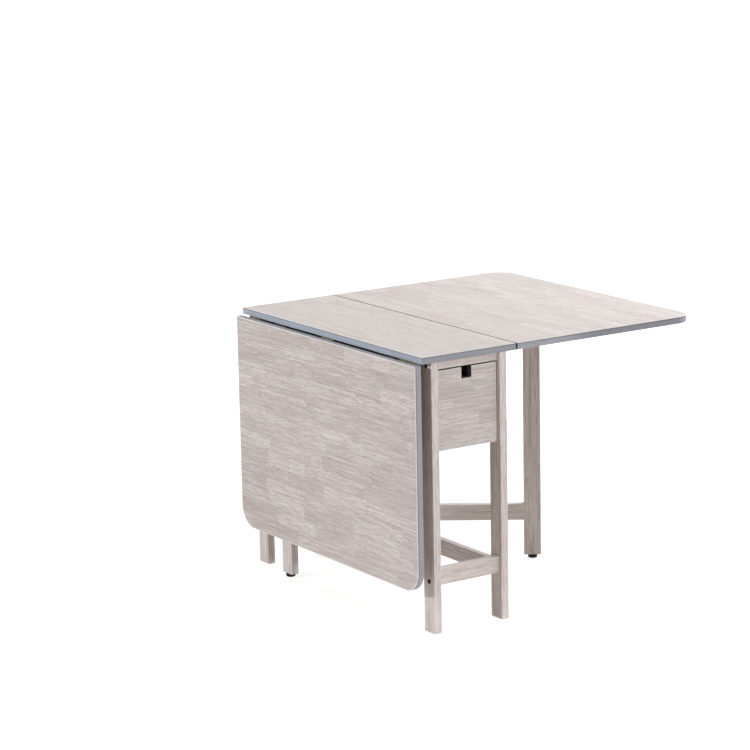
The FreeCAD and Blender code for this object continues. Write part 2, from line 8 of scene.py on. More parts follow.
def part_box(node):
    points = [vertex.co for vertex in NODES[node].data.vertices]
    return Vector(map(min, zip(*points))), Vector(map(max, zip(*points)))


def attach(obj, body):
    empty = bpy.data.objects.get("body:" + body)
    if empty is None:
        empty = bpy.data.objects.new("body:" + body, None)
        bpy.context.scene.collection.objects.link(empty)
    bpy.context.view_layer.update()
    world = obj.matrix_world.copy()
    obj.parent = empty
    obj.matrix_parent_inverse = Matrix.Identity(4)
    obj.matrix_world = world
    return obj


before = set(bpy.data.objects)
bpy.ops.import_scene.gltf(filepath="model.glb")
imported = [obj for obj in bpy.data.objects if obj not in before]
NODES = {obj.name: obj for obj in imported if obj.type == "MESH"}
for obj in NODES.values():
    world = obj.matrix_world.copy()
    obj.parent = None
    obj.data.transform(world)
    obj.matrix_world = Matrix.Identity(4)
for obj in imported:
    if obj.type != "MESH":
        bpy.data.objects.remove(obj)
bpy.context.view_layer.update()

X_AXIS = Vector((1, 0, 0))
Y_AXIS = Vector((0, 1, 0))
Z_AXIS = Vector((0, 0, 1))
SIDES = {"left": -1, "right": 1}
WHITE = (1.0, 1.0, 1.0, 1.0)


def tone(red, green, blue):
    """A colour given in display values from 0 to 255, as the linear colour that a shader takes."""
    shares = [part / 255 for part in (red, green, blue)]
    linear = [s / 12.92 if s <= 0.04045 else ((s + 0.055) / 1.055) ** 2.4 for s in shares]
    return (*linear, 1.0)


def even(scale):
    """A pattern's scale that is the same in all directions."""
    return (scale, scale, scale)


def gate_reach(side):
    """The level direction from a gate's hinge to its leg."""
    leg_low, leg_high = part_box(side + "_gate_leg")
    rail_low, rail_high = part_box(side + "_gate_lower_rail")
    return (leg_low + leg_high - rail_low - rail_high).xy.normalized().to_3d()


class Graph:
    """Adds nodes to a node tree and joins their sockets."""

    def __init__(self, tree):
        self.tree = tree

    def feed(self, socket, source):
        if isinstance(source, bpy.types.NodeSocket):
            self.tree.links.new(source, socket)
        else:
            socket.default_value = source

    def add(self, kind, inputs=None, **settings):
        node = self.tree.nodes.new(kind)
        for name, setting in settings.items():
            setattr(node, name, setting)
        for name, source in (inputs or {}).items():
            self.feed(node.inputs[name], source)
        return node

    def calc(self, operation, *values):
        node = self.add("ShaderNodeMath", operation=operation)
        for socket, source in zip(node.inputs, values):
            self.feed(socket, source)
        return node.outputs[0]

    def vector(self, operation, first, second=None):
        node = self.add("ShaderNodeVectorMath", {0: first}, operation=operation)
        if second is not None:
            self.feed(node.inputs[1], second)
        return node.outputs

    def scaled(self, vector, factors):
        return self.vector("MULTIPLY", vector, factors)["Vector"]

    def split(self, vector):
        return self.add("ShaderNodeSeparateXYZ", {"Vector": vector}).outputs

    def fade(self, value, start, end, low=0.0, high=1.0):
        """Runs smoothly from low at start to high at end."""
        node = self.add("ShaderNodeMapRange", interpolation_type="SMOOTHSTEP")
        for name, source in (("Value", value), ("From Min", start), ("From Max", end),
                             ("To Min", low), ("To Max", high)):
            self.feed(node.inputs[name], source)
        return node.outputs[0]

    def blend(self, share, under, over):
        node = self.add("ShaderNodeMix", data_type="RGBA")
        sockets = {socket.identifier: socket for socket in node.inputs}
        self.feed(sockets["Factor_Float"], share)
        self.feed(sockets["A_Color"], under)
        self.feed(sockets["B_Color"], over)
        return next(socket for socket in node.outputs if socket.identifier == "Result_Color")

    def ramp(self, value, stops):
        node = self.add("ShaderNodeValToRGB", {"Fac": value})
        points = node.color_ramp.elements
        for number, (place, colour) in enumerate(stops):
            point = points[number] if number < 2 else points.new(place)
            point.position = place
            point.color = colour
        return node.outputs["Color"]

    def noise(self, vector, depth=3.0, roughness=0.55, distortion=0.0, turn=None):
        node = self.add("ShaderNodeTexNoise", {"Vector": vector, "Scale": 1.0, "Detail": depth,
                                               "Roughness": roughness, "Distortion": distortion})
        if turn is not None:
            node.noise_dimensions = "4D"
            self.feed(node.inputs["W"], turn)
        return node.outputs["Fac"]


# Whitewashed wood, shared by the boards and the solid timber
BLOCK_TONES = ((0.0, tone(192, 185, 179)), (0.3, tone(198, 191, 185)),
               (0.7, tone(201, 195, 189)), (1.0, tone(207, 201, 195)))
TIMBER_TONE = tone(221, 213, 207)
VEIN_TONE = tone(174, 151, 147)
LINE_TONE = tone(152, 137, 131)
PALE_TONE = tone(228, 224, 219)
# Paler colour along edges: partly wear, partly painted highlight where edges catch light
WORN_AND_HIGHLIGHT_TONE = tone(236, 231, 225)

# Each pattern of the grain: scale along and across it, detail, roughness and distortion
GRAIN = {"vein": ((3.0, 85.0, 85.0), 2.0, 0.5, 0.25),
         "line": ((4.5, 240.0, 240.0), 2.0, 0.6, 0.15),
         "fibre": ((25.0, 480.0, 480.0), 3.0, 0.6, 0.1),
         "pore": ((60.0, 1700.0, 1700.0), 2.0, 0.6, 0.0),
         "drift": ((1.6, 30.0, 30.0), 2.0, 0.5, 0.2)}
CLOUD_SCALE = (3.0, 9.0, 9.0)

# Each fade: where it starts and ends on a pattern or a distance, and its share at either end
JOINT_FADE = (0.0003, 0.0011, 1.0, 0.0)
VEIN_FADE = (0.48, 0.68, 0.0, 1.0)
VEIN_DEPTH_FADE = (0.35, 1.0, 0.22, 1.0)
LINE_FADE = (0.48, 0.66, 0.0, 0.32)
PALE_FADE = (0.32, 0.46, 0.32, 0.0)
FIBRE_FADE = (0.46, 0.66, 0.0, 0.58)
PORE_FADE = (0.55, 0.75, 0.0, 0.16)
DRIFT_FADE = (0.40, 0.64, 0.0, 0.24)
CLOUD_FADE = (0.35, 0.7, 0.0, 0.14)
# Paler line along edges, partly wear and partly painted highlight, and its patchiness
EDGE_WEAR_AND_HIGHLIGHT_FADE = (0.0008, 0.0026, 1.0, 0.0)
WEAR_AND_HIGHLIGHT_PATCH_FADE = (0.25, 0.55, 0.4, 0.8)

# How blocks differ from each other, and timber from blocks
STAVE_SHIFT = 60.0
UNEVEN_BLOCKS = 0.8
GRAIN_CHANGE = 40.0
GRAIN_LEAN = 0.06
BLOCK_SHORTENING = 0.6
JOINT_SHARE = 0.3
# Share of the paler edge line on timber, partly wear and partly painted highlight
TIMBER_WEAR_AND_HIGHLIGHT = 0.35

# Gloss and relief of the wood
FIBRE_ROUGHNESS = 0.22
LEAST_ROUGHNESS = 0.42
LINE_RELIEF = -0.5
PORE_RELIEF = -0.6
JOINT_RELIEF = -0.8


def lay_blocks(graph, given, place):
    """Staves side by side, each cut into blocks of uneven length: the blocks' chances and the joints."""
    row_place = graph.calc("ADD", graph.calc("DIVIDE", place["Y"], given["Stave Width"]), given["Seed"])
    row = graph.calc("FLOOR", row_place)
    row_chance = graph.add("ShaderNodeTexWhiteNoise", {"W": row}, noise_dimensions="1D").outputs["Value"]
    along = graph.calc("MULTIPLY_ADD", row_chance, STAVE_SHIFT,
                       graph.calc("DIVIDE", place["X"], given["Block Length"]))

    def blocks(feature):
        return graph.add("ShaderNodeTexVoronoi", {"W": along, "Scale": 1.0, "Randomness": UNEVEN_BLOCKS},
                         voronoi_dimensions="1D", feature=feature).outputs

    chance = graph.add("ShaderNodeSeparateColor", {"Color": blocks("F1")["Color"]}).outputs
    block_end = graph.calc("MULTIPLY", blocks("DISTANCE_TO_EDGE")["Distance"], given["Block Length"])
    row_edge = graph.calc("ABSOLUTE", graph.calc("SUBTRACT", graph.calc("FRACT", row_place), 0.5))
    row_edge = graph.calc("MULTIPLY", graph.calc("SUBTRACT", 0.5, row_edge), given["Stave Width"])
    joint = graph.fade(graph.calc("MINIMUM", block_end, row_edge), *JOINT_FADE)
    return chance, joint


def draw_grain(graph, given, place, chance):
    """The patterns of a grain that leans and changes from block to block, and the clouds over it."""
    own_grain = graph.calc("MULTIPLY_ADD", chance["Green"], GRAIN_CHANGE, given["Seed"])
    lean = graph.calc("MULTIPLY", graph.calc("SUBTRACT", chance["Blue"], 0.5), GRAIN_LEAN)
    shortening = graph.calc("MULTIPLY_ADD", given["Block Contrast"], BLOCK_SHORTENING, 1.0)
    leaning = graph.add("ShaderNodeCombineXYZ", {"X": graph.calc("MULTIPLY", place["X"], shortening),
                                                 "Y": graph.calc("MULTIPLY_ADD", place["X"], lean, place["Y"]),
                                                 "Z": place["Z"]}).outputs["Vector"]
    grain = {name: graph.noise(graph.scaled(leaning, scale), depth, roughness, distortion, own_grain)
             for name, (scale, depth, roughness, distortion) in GRAIN.items()}
    grain["cloud"] = graph.noise(graph.scaled(given["Place"], CLOUD_SCALE), 2.0, 0.5, 0.0, own_grain)
    return grain


def wear_and_highlight_edges(graph, given, place, cloud):
    """Share of a paler line along the edges, partly where hands and cloths have worn them and partly a painted
    highlight where the edges catch light.
    """
    half = graph.split(given["Half Size"])
    corner = graph.calc("MULTIPLY", given["Corner Radius"], graph.calc("GREATER_THAN", place["Y"], 0.0))
    past = [graph.calc("ADD", graph.calc("SUBTRACT", graph.calc("ABSOLUTE", place[axis]), half[axis]), corner)
            for axis in ("X", "Y")]
    outside_x, outside_y = [graph.calc("MAXIMUM", distance, 0.0) for distance in past]
    outside = graph.calc("SQRT", graph.calc("MULTIPLY_ADD", outside_x, outside_x,
                                            graph.calc("MULTIPLY", outside_y, outside_y)))
    inside = graph.calc("MINIMUM", graph.calc("MAXIMUM", *past), 0.0)
    rim = graph.calc("SUBTRACT", graph.calc("SUBTRACT", corner, outside), inside)
    flat = graph.calc("SUBTRACT", half["Z"], graph.calc("ABSOLUTE", place["Z"]))
    paler_edge = graph.fade(graph.calc("ABSOLUTE", graph.calc("MAXIMUM", rim, flat)), *EDGE_WEAR_AND_HIGHLIGHT_FADE)
    paler_edge = graph.calc("MULTIPLY", paler_edge, graph.fade(cloud, *WEAR_AND_HIGHLIGHT_PATCH_FADE))
    return graph.calc("MULTIPLY", paler_edge, graph.calc("MULTIPLY_ADD", given["Block Contrast"], 1.0 - TIMBER_WEAR_AND_HIGHLIGHT,
                                                   TIMBER_WEAR_AND_HIGHLIGHT))


def make_wood_group():
    """Staves of jointed blocks with grain along X; the piece's middle is at zero."""
    tree = bpy.data.node_groups.new("whitewashed_wood", "ShaderNodeTree")
    face = tree.interface
    face.new_socket("Place", in_out="INPUT", socket_type="NodeSocketVector")
    face.new_socket("Half Size", in_out="INPUT", socket_type="NodeSocketVector")
    for name in ("Corner Radius", "Seed", "Stave Width", "Block Length", "Block Contrast", "Block Spread",
                 "Vein Contrast", "Line Contrast"):
        face.new_socket(name, in_out="INPUT", socket_type="NodeSocketFloat")
    face.new_socket("Color", in_out="OUTPUT", socket_type="NodeSocketColor")
    face.new_socket("Roughness", in_out="OUTPUT", socket_type="NodeSocketFloat")
    face.new_socket("Height", in_out="OUTPUT", socket_type="NodeSocketFloat")
    graph = Graph(tree)
    given = graph.add("NodeGroupInput").outputs
    place = graph.split(given["Place"])
    chance, joint = lay_blocks(graph, given, place)
    grain = draw_grain(graph, given, place, chance)

    from_middle = graph.calc("SUBTRACT", chance["Red"], 0.5)
    pick = graph.calc("MULTIPLY_ADD", from_middle, given["Block Spread"], 0.5)
    colour = graph.blend(given["Block Contrast"], TIMBER_TONE, graph.ramp(pick, BLOCK_TONES))
    vein_depth = graph.calc("MULTIPLY", given["Vein Contrast"], graph.fade(chance["Green"], *VEIN_DEPTH_FADE))
    joint_share = graph.calc("MULTIPLY", graph.calc("MULTIPLY", joint, given["Block Contrast"]), JOINT_SHARE)
    layers = (
        (graph.calc("MULTIPLY", graph.fade(grain["drift"], *DRIFT_FADE),
                    graph.calc("SUBTRACT", 1.0, given["Block Contrast"])), VEIN_TONE),
        (graph.fade(grain["cloud"], *CLOUD_FADE), PALE_TONE),
        (graph.calc("MULTIPLY", graph.fade(grain["line"], *PALE_FADE), given["Line Contrast"]), PALE_TONE),
        (graph.calc("MULTIPLY", graph.fade(grain["vein"], *VEIN_FADE), vein_depth), VEIN_TONE),
        (graph.calc("MULTIPLY", graph.fade(grain["line"], *LINE_FADE), given["Line Contrast"]), LINE_TONE),
        (graph.calc("MULTIPLY", graph.fade(grain["fibre"], *FIBRE_FADE), given["Line Contrast"]), VEIN_TONE),
        (graph.fade(grain["pore"], *PORE_FADE), LINE_TONE),
        (joint_share, LINE_TONE),
        (wear_and_highlight_edges(graph, given, place, grain["cloud"]), WORN_AND_HIGHLIGHT_TONE))
    for share, over in layers:
        colour = graph.blend(share, colour, over)

    height = graph.calc("MULTIPLY_ADD", grain["line"], LINE_RELIEF,
                        graph.calc("MULTIPLY", grain["pore"], PORE_RELIEF))
    result = graph.add("NodeGroupOutput").inputs
    graph.feed(result["Color"], colour)
    graph.feed(result["Roughness"], graph.calc("MULTIPLY_ADD", grain["fibre"], FIBRE_ROUGHNESS, LEAST_ROUGHNESS))
    graph.feed(result["Height"], graph.calc("MULTIPLY_ADD", joint_share, JOINT_RELIEF, height))
    return tree


WOOD_GROUP = make_wood_group()


def new_material(name):
    """A material with its graph, its shader and Object coordinates."""
    material = bpy.data.materials.new(name)
    material.use_nodes = True
    graph = Graph(material.node_tree)
    shader = material.node_tree.nodes["Principled BSDF"]
    place = graph.add("ShaderNodeTexCoord").outputs["Object"]
    return material, graph, shader, place


def dress(graph, shader, colour, rough, height, strength, distance, **steady):
    """Joins colour, roughness and relief to a shader; steady values go straight on its other sockets."""
    bump = graph.add("ShaderNodeBump", {"Height": height, "Strength": strength, "Distance": distance})
    graph.feed(shader.inputs["Base Color"], colour)
    graph.feed(shader.inputs["Roughness"], rough)
    graph.feed(shader.inputs["Normal"], bump.outputs["Normal"])
    sockets = {"specular": "Specular IOR Level", "metallic": "Metallic"}
    for name, level in steady.items():
        shader.inputs[sockets[name]].default_value = level


def cover(node, material):
    for place in NODES[node].material_slots:
        place.material = material


def extent(node, turn):
    """Middle and half size of a node along the rows of a turn."""
    points = [turn @ vertex.co for vertex in NODES[node].data.vertices]
    low = Vector([min(point[axis] for point in points) for axis in range(3)])
    high = Vector([max(point[axis] for point in points) for axis in range(3)])
    return (low + high) / 2, (high - low) / 2


def turned_place(graph, place, turn, middle):
    """Coordinates along the rows of a turn, with a piece's middle at zero."""
    return graph.add("ShaderNodeMapping", {"Vector": place, "Location": -middle,
                                           "Rotation": turn.to_euler("XYZ")}).outputs["Vector"]


# Painted shade and painted light on single pieces: shade at ends in gaps, light on upward faces, shade in notches
# and bolt recesses
PAINTED_SHADE_TONE = tone(34, 31, 29)
PAINTED_SHADE_SHARE = 0.96
PAINTED_TOP_LIGHT_TONE = tone(243, 237, 233)
FACING_UP = (0.5, 0.95)
# Dark colour painted in the drawer's notch and in bolt recesses: painted shade
RECESS_SHADE_TONE = tone(22, 20, 19)
NOTCH_SHARE = 0.82
NOTCH_EDGE = 0.0004
NOTCH_FRONT = (0.0020, 0.0008)
RECESS_RADIUS = 0.0065
RECESS_EDGE = (0.0001, 0.0005)
RECESS_SHARE = 0.95


def shade_notch(graph, spot, half, half_width, depth):
    """Share of the painted shade inside a cut-out in the upper edge, which stays off the front face."""
    bottom = half.y - depth
    share = graph.fade(graph.calc("ABSOLUTE", spot["X"]), half_width, half_width + NOTCH_EDGE, NOTCH_SHARE, 0.0)
    share = graph.calc("MULTIPLY", share, graph.fade(spot["Y"], bottom - NOTCH_EDGE, bottom))
    front = graph.fade(spot["Z"], half.z - NOTCH_FRONT[0], half.z - NOTCH_FRONT[1], 1.0, 0.0)
    return graph.calc("MULTIPLY", share, front)


def shade_recess(graph, place, shift):
    """Share of the painted shade in a bolt recess; the shift along the grain brings the recess to zero."""
    shifted = graph.vector("ADD", place, (shift, 0.0, 0.0))["Vector"]
    away = graph.vector("LENGTH", graph.scaled(shifted, (1.0, 1.0, 0.0)))["Value"]
    inner, outer = RECESS_EDGE
    return graph.fade(away, RECESS_RADIUS - inner, RECESS_RADIUS + outer, RECESS_SHARE, 0.0)


def whitewash(node, grain, across, seed, stave=1.0, block=40.0, contrast=0.0, spread=1.0, vein=0.9, line=1.2,
              radius=0.0, painted_shade=None, sockets=(), painted_top_light=0.0, notch=None):
    """Covers a node with the whitewashed wood, grain and staves along two directions.

    Stave and block are the sizes of the blocks, contrast is how far they show, and spread how far they differ.
    Vein and line are the contrasts of the grain. Radius is that of the outer corners.
    Painted shade gives the axis of the pattern and the length of a stretch at its end that is painted dark, as
    shade in a gap.
    Sockets gives places along the grain of bolt recesses, which are painted dark inside as painted shade.
    Painted top light is how far upward faces are painted paler, as light falls on them. Notch gives half the
    width and the depth of a cut-out painted dark inside, as painted shade.
    """
    turn = Matrix((grain, across, grain.cross(across)))
    middle, half = extent(node, turn)
    material, graph, shader, place = new_material(node + "_wood")
    place = turned_place(graph, place, turn, middle)
    wood = graph.add("ShaderNodeGroup", node_tree=WOOD_GROUP)
    given = {"Place": place, "Half Size": half, "Corner Radius": radius, "Seed": seed, "Stave Width": stave,
             "Block Length": block, "Block Contrast": contrast, "Block Spread": spread, "Vein Contrast": vein,
             "Line Contrast": line}
    for name, source in given.items():
        graph.feed(wood.inputs[name], source)
    colour = wood.outputs["Color"]
    spot = graph.split(place)
    # Painted shade: a dark stretch at one end, where the piece sits in a gap
    if painted_shade:
        axis, length = painted_shade
        share = graph.fade(spot[axis], half[axis] - length, half[axis] - length / 2, 0.0, PAINTED_SHADE_SHARE)
        colour = graph.blend(share, colour, PAINTED_SHADE_TONE)
    # Painted light: upward faces paler, where light falls on them
    if painted_top_light:
        facing = graph.add("ShaderNodeTexCoord").outputs["Normal"]
        share = graph.fade(graph.split(facing)["Z"], *FACING_UP, 0.0, painted_top_light)
        colour = graph.blend(share, colour, PAINTED_TOP_LIGHT_TONE)
    # Painted shade inside the notch and the bolt recesses
    if notch:
        colour = graph.blend(shade_notch(graph, spot, half, *notch), colour, RECESS_SHADE_TONE)
    for socket in sockets:
        colour = graph.blend(shade_recess(graph, place, middle.x - socket), colour, RECESS_SHADE_TONE)
    dress(graph, shader, colour, wood.outputs["Roughness"], wood.outputs["Height"], 0.25, 0.0004, specular=0.35)
    cover(node, material)


# Axes of a piece's pattern
ALONG = 0
ACROSS = 1

# Jointed boards: the tops, the drawer front and the panels, each with the directions of its grain and staves; the
# centre board and raised leaf get calmer grain than the hanging leaf, a painted sheen
TOP_STAVE = 0.040
TOP_BLOCK = 0.22
PANEL_BLOCK = 0.16
LEAF_CORNER = 0.0588
DRAWER_NOTCH = (0.0160, 0.031)
HIDDEN_PANEL = {"contrast": 1.0, "vein": 0.75, "line": 1.15}
# Painted shade on the centre board's edge at the seam and on the drawer front's top edge in its gap
BOARDS = {
    "centre_board": (Y_AXIS, X_AXIS, {"block": TOP_BLOCK, "contrast": 0.9, "vein": 0.40, "line": 0.75,
                                      "painted_shade": (ACROSS, 0.0008)}),
    "left_leaf_board": (Y_AXIS, -Z_AXIS, {"block": TOP_BLOCK, "contrast": 1.0, "spread": 2.2, "vein": 0.45,
                                          "line": 1.30, "radius": LEAF_CORNER}),
    "right_leaf_board": (Y_AXIS, X_AXIS, {"block": TOP_BLOCK, "contrast": 0.9, "vein": 0.40, "line": 0.75,
                                          "radius": LEAF_CORNER}),
    "drawer_front": (X_AXIS, Z_AXIS, {"block": PANEL_BLOCK, "contrast": 1.0, "spread": 3.0, "vein": 0.62,
                                      "line": 1.0, "painted_shade": (ACROSS, 0.0010), "notch": DRAWER_NOTCH}),
    "far_end_panel": (X_AXIS, Z_AXIS, {"block": PANEL_BLOCK, "spread": 3.0, **HIDDEN_PANEL}),
    "left_side_panel": (Y_AXIS, Z_AXIS, {"block": TOP_BLOCK, **HIDDEN_PANEL}),
    "right_side_panel": (Y_AXIS, Z_AXIS, {"block": TOP_BLOCK, **HIDDEN_PANEL}),
}
for number, (node, (grain, across, looks)) in enumerate(BOARDS.items()):
    whitewash(node, grain, across, 11.37 * number + 2.2, TOP_STAVE, **looks)

# Solid timber of the frame and the gates; the number after the directions picks a piece's own grain
# Painted shade at the top ends of pieces seen through the slot under the top, and on the left gate's upper rail
TOP_PAINTED_SHADE = {"far_left_leg": (ALONG, 0.020), "left_gate_leg": (ALONG, 0.016),
             "left_gate_upper_rail": (ACROSS, 0.006)}
CALM_LINE = 0.8
BOLT_HEAD = 0.006
bolts_low, bolts_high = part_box("leg_bolts")
bolt_heights = (bolts_low.z + BOLT_HEAD, bolts_high.z - BOLT_HEAD)
LEG_SEEDS = {"near_left_leg": 0.4, "near_right_leg": 17.5, "far_left_leg": 10.6, "far_right_leg": 15.7}
for node, seed in LEG_SEEDS.items():
    whitewash(node, Z_AXIS, Y_AXIS, seed, painted_shade=TOP_PAINTED_SHADE.get(node), sockets=bolt_heights)
whitewash("near_top_rail", X_AXIS, Z_AXIS, 12.7, vein=0.35, line=CALM_LINE)
whitewash("drawer_rest_rail", X_AXIS, Z_AXIS, 4.0)
# Painted light makes the upward faces of the stretchers paler
for number, node in enumerate(("near_end_stretcher", "far_end_stretcher")):
    whitewash(node, X_AXIS, Z_AXIS, 3.3 * number + 7.3, painted_top_light=0.75)
for number, node in enumerate(("left_long_stretcher", "right_long_stretcher")):
    whitewash(node, Y_AXIS, Z_AXIS, 4.9 * number + 0.2, painted_top_light=0.50)
for number, side in enumerate(SIDES):
    gate = side + "_gate"
    reach = gate_reach(side)
    whitewash(gate + "_leg", Z_AXIS, reach, 6.7 * number + 0.9, painted_shade=TOP_PAINTED_SHADE.get(gate + "_leg"))
    whitewash(gate + "_stile", Z_AXIS, reach, 2.7 * number + 0.5)
    whitewash(gate + "_lower_rail", reach, Z_AXIS, 3.9 * number + 0.1, vein=0.25, line=CALM_LINE, painted_top_light=0.5)
    whitewash(gate + "_upper_rail", reach, Z_AXIS, 8.3 * number + 0.3,
              painted_shade=TOP_PAINTED_SHADE.get(gate + "_upper_rail"))

# Drawer box and its runners, in plainer boards
for number, node in enumerate(("drawer_left_side", "drawer_right_side", "left_drawer_runner",
                               "right_drawer_runner")):
    whitewash(node, Y_AXIS, Z_AXIS, 7.7 * number + 0.6, vein=0.35)
whitewash("drawer_back", X_AXIS, Z_AXIS, 1.9, vein=0.35)
whitewash("drawer_bottom", Y_AXIS, X_AXIS, 9.4, vein=0.3)


# Grey plastic band on the edges of the tops
BAND_LINES = (5.0, 5.0, 650.0)
BAND_CLOUDS = (9.0, 9.0, 60.0)
BAND_LINE_FADE = (0.35, 0.65, 0.0, 0.5)
BAND_CLOUD_FADE = (0.35, 0.7, 0.0, 0.3)
# Painted highlight along the band's top arris
BAND_HIGHLIGHT_FADE = (0.0003, 0.0010, 0.75, 0.0)
SHADE_TONE = tone(92, 90, 98)
SHADE_DEPTH = 0.0026
SHADE_FADE = (0.0004, 0.0014, 0.75, 0.0)
# Edge at the drawer's end, where the band is painted darker as painted shade
NEAR_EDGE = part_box("centre_edging")[0].y
NEAR_EDGE_SHADE_TONE = tone(118, 108, 110)
NEAR_EDGE_SHADE_DEPTH = (0.0004, 0.0014)
# Middle of the seam beside the raised leaf, where the edgings meet; the band is painted dark there as painted
# shade in the seam
SEAM_MIDDLE = (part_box("centre_edging")[1].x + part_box("right_leaf_edging")[0].x) / 2
SEAM_SHADE_TONE = tone(50, 43, 40)
SEAM_SHADE_FADE = (0.0026, 0.0034, 0.97, 0.0)


def band_edge(node, outwards, light, middling, dark, near_shade):
    """Covers an edging with the grey plastic band; outwards points away from the face that is seen.

    Near shade is how far its end beside the drawer is painted darker, as painted shade.
    """
    turn = Matrix((Y_AXIS, outwards.cross(Y_AXIS), outwards))
    middle, half = extent(node, turn)
    material, graph, shader, place = new_material(node + "_band")
    spot = turned_place(graph, place, turn, middle)
    lines = graph.noise(graph.scaled(spot, BAND_LINES), 3.0, 0.6)
    cloud = graph.noise(graph.scaled(spot, BAND_CLOUDS), 2.0)
    below = graph.calc("SUBTRACT", half.z, graph.split(spot)["Z"])
    from_shade = graph.calc("ABSOLUTE", graph.calc("SUBTRACT", below, SHADE_DEPTH))
    in_frame = graph.split(place)
    near_start, near_end = [NEAR_EDGE + depth for depth in NEAR_EDGE_SHADE_DEPTH]
    from_seam = graph.calc("ABSOLUTE", graph.calc("SUBTRACT", in_frame["X"], SEAM_MIDDLE))
    colour = middling
    for share, over in ((graph.fade(lines, *BAND_LINE_FADE), light),
                        (graph.fade(cloud, *BAND_CLOUD_FADE), dark),
                        (graph.fade(from_shade, *SHADE_FADE), SHADE_TONE),
                        (graph.fade(below, *BAND_HIGHLIGHT_FADE), WORN_AND_HIGHLIGHT_TONE),
                        (graph.fade(in_frame["Y"], near_start, near_end, near_shade, 0.0), NEAR_EDGE_SHADE_TONE),
                        (graph.fade(from_seam, *SEAM_SHADE_FADE), SEAM_SHADE_TONE)):
        colour = graph.blend(share, colour, over)
    dress(graph, shader, colour, graph.calc("MULTIPLY_ADD", lines, 0.25, 0.36), lines, 0.15, 0.0002, specular=0.4)
    cover(node, material)


band_edge("centre_edging", Z_AXIS, tone(180, 188, 200), tone(159, 168, 180), tone(148, 156, 169), 0.46)
band_edge("right_leaf_edging", Z_AXIS, tone(188, 192, 202), tone(166, 171, 181), tone(155, 160, 171), 0.32)
band_edge("left_leaf_edging", -X_AXIS, tone(188, 189, 196), tone(168, 169, 176), tone(155, 156, 164), 0.22)


# Metal and plastic fittings
METAL_CLOUDS = even(120.0)
PLASTIC_GRAIN = even(1400.0)
PLASTIC_SCUFFS = (260.0, 260.0, 40.0)
PLASTIC_BLACK = tone(9, 9, 9)
SCUFF_TONE = tone(44, 43, 42)
SCUFF_HEIGHT_FADE = (0.001, 0.004, 0.5, 0.05)


def metal(name, light, dark, brushing, rough):
    """A metal with brushed lines, darker clouds and uneven gloss."""
    material, graph, shader, place = new_material(name)
    lines = graph.noise(graph.scaled(place, brushing), 3.0, 0.6)
    cloud = graph.noise(graph.scaled(place, METAL_CLOUDS), 3.0, 0.6, 0.3)
    colour = graph.blend(graph.fade(cloud, 0.35, 0.7), light, dark)
    colour = graph.blend(graph.fade(lines, 0.4, 0.7, 0.0, 0.3), colour, dark)
    dress(graph, shader, colour, graph.calc("MULTIPLY_ADD", cloud, 0.3, rough), lines, 0.12, 0.0001, metallic=1.0)
    return material


def moulded_black(name):
    """Black moulded plastic with a fine grain and scuffs low down."""
    material, graph, shader, place = new_material(name)
    grain = graph.noise(graph.scaled(place, PLASTIC_GRAIN), 2.0)
    scuff = graph.noise(graph.scaled(place, PLASTIC_SCUFFS), 3.0, 0.6, 0.4)
    low_down = graph.fade(graph.split(place)["Z"], *SCUFF_HEIGHT_FADE)
    share = graph.calc("MULTIPLY", graph.fade(scuff, 0.5, 0.7), low_down)
    colour = graph.blend(share, PLASTIC_BLACK, SCUFF_TONE)
    dress(graph, shader, colour, graph.calc("MULTIPLY_ADD", scuff, 0.3, 0.38), grain, 0.2, 0.0002, specular=0.2)
    return material


BRASS = metal("dulled_brass_hinge", tone(132, 119, 78), tone(84, 75, 46), (60.0, 60.0, 2500.0), 0.30)
STEEL = metal("black_oxide_steel", tone(52, 50, 48), tone(24, 23, 22), even(900.0), 0.32)
PIN_STEEL = metal("bright_pin_steel", tone(186, 184, 178), tone(128, 124, 116), (900.0, 40.0, 900.0), 0.2)
GLIDE_PLASTIC = moulded_black("black_glide_plastic")
FITTINGS = ((("centre_hinge_plates", "leaf_hinge_plates", "gate_fixed_plates", "gate_hinge_plates"), BRASS),
            (("hinge_pins", "gate_pins"), PIN_STEEL),
            (("gate_bolts", "gate_nuts"), STEEL),
            (("gate_glide",), GLIDE_PLASTIC))
for side in SIDES:
    for names, material in FITTINGS:
        for name in names:
            cover("%s_%s" % (side, name), material)
for node in ("leg_bolts", "barrel_nuts"):
    cover(node, STEEL)


# Screw heads on the hinge plates
HEAD_SIDES = 16
CROWN_SHARE = 0.72
RECESS_LENGTH_SHARE = 1.1
SPIN_SEED = 7


